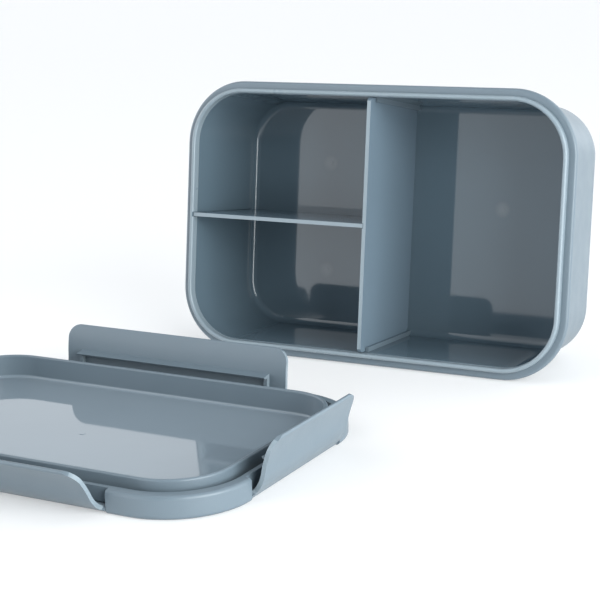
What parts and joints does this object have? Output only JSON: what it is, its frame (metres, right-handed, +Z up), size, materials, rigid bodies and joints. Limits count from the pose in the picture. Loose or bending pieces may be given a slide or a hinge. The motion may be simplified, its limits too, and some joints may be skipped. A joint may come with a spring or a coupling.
{
  "type": "lunch box",
  "caption": "Rectangular lunch box standing on its side with sliding dividers, and beside it the sealed lid lying upside down with its swinging side clips.",
  "frame": {"origin": "the middle of the lid's flat outer face, which lies on the table", "axes": "+X runs along the long side of the standing box, +Y runs from the lid back to the box, and +Z is up"},
  "size_m": [0.2543, 0.28, 0.122],
  "materials": {
    "shell_plastic": "moulded polypropylene, mirror gloss inside and satin outside",
    "divider_plastic": "moulded polypropylene, glossy",
    "clip_plastic": "moulded polypropylene, satin",
    "seal": "soft silicone, matt"
  },
  "bodies": {
    "box": {"box_shell": "shell_plastic"},
    "long_divider": {"long_divider": "divider_plastic"},
    "short_divider": {"short_divider": "divider_plastic"},
    "lid": {"lid_shell": "shell_plastic", "lid_seal": "seal"},
    "clip_front": {"clip_front": "clip_plastic"},
    "clip_back": {"clip_back": "clip_plastic"},
    "clip_left": {"clip_left": "clip_plastic"},
    "clip_right": {"clip_right": "clip_plastic"}
  },
  "joints": [
    {"name": "lid_lift", "type": "slide", "parent": "box", "child": "lid", "axis": [0, 0, 1], "range_m": [0, 0.12]},
    {"name": "long_divider_slide", "type": "slide", "parent": "box", "child": "long_divider", "axis": [0, -0.9908, 0.135], "range_m": [0, 0.052]},
    {"name": "short_divider_slide", "type": "slide", "parent": "box", "child": "short_divider", "axis": [0, -0.9908, 0.135], "range_m": [0, 0.052]},
    {"name": "clip_front_hinge", "type": "hinge", "parent": "lid", "child": "clip_front", "pos_m": [-0.00162, -0.06168, 0.0016], "axis": [0.9997, -0.0262, 0], "range_deg": [-35, 37]},
    {"name": "clip_back_hinge", "type": "hinge", "parent": "lid", "child": "clip_back", "pos_m": [0.00162, 0.06168, 0.0016], "axis": [-0.9997, 0.0262, 0], "range_deg": [-8, 64]},
    {"name": "clip_left_hinge", "type": "hinge", "parent": "lid", "child": "clip_left", "pos_m": [-0.09267, 0.00243, 0.0016], "axis": [-0.0262, -0.9997, 0], "range_deg": [-18, 54]},
    {"name": "clip_right_hinge", "type": "hinge", "parent": "lid", "child": "clip_right", "pos_m": [0.09267, -0.00243, 0.0016], "axis": [0.0262, 0.9997, 0], "range_deg": [-17, 55]}
  ]
}
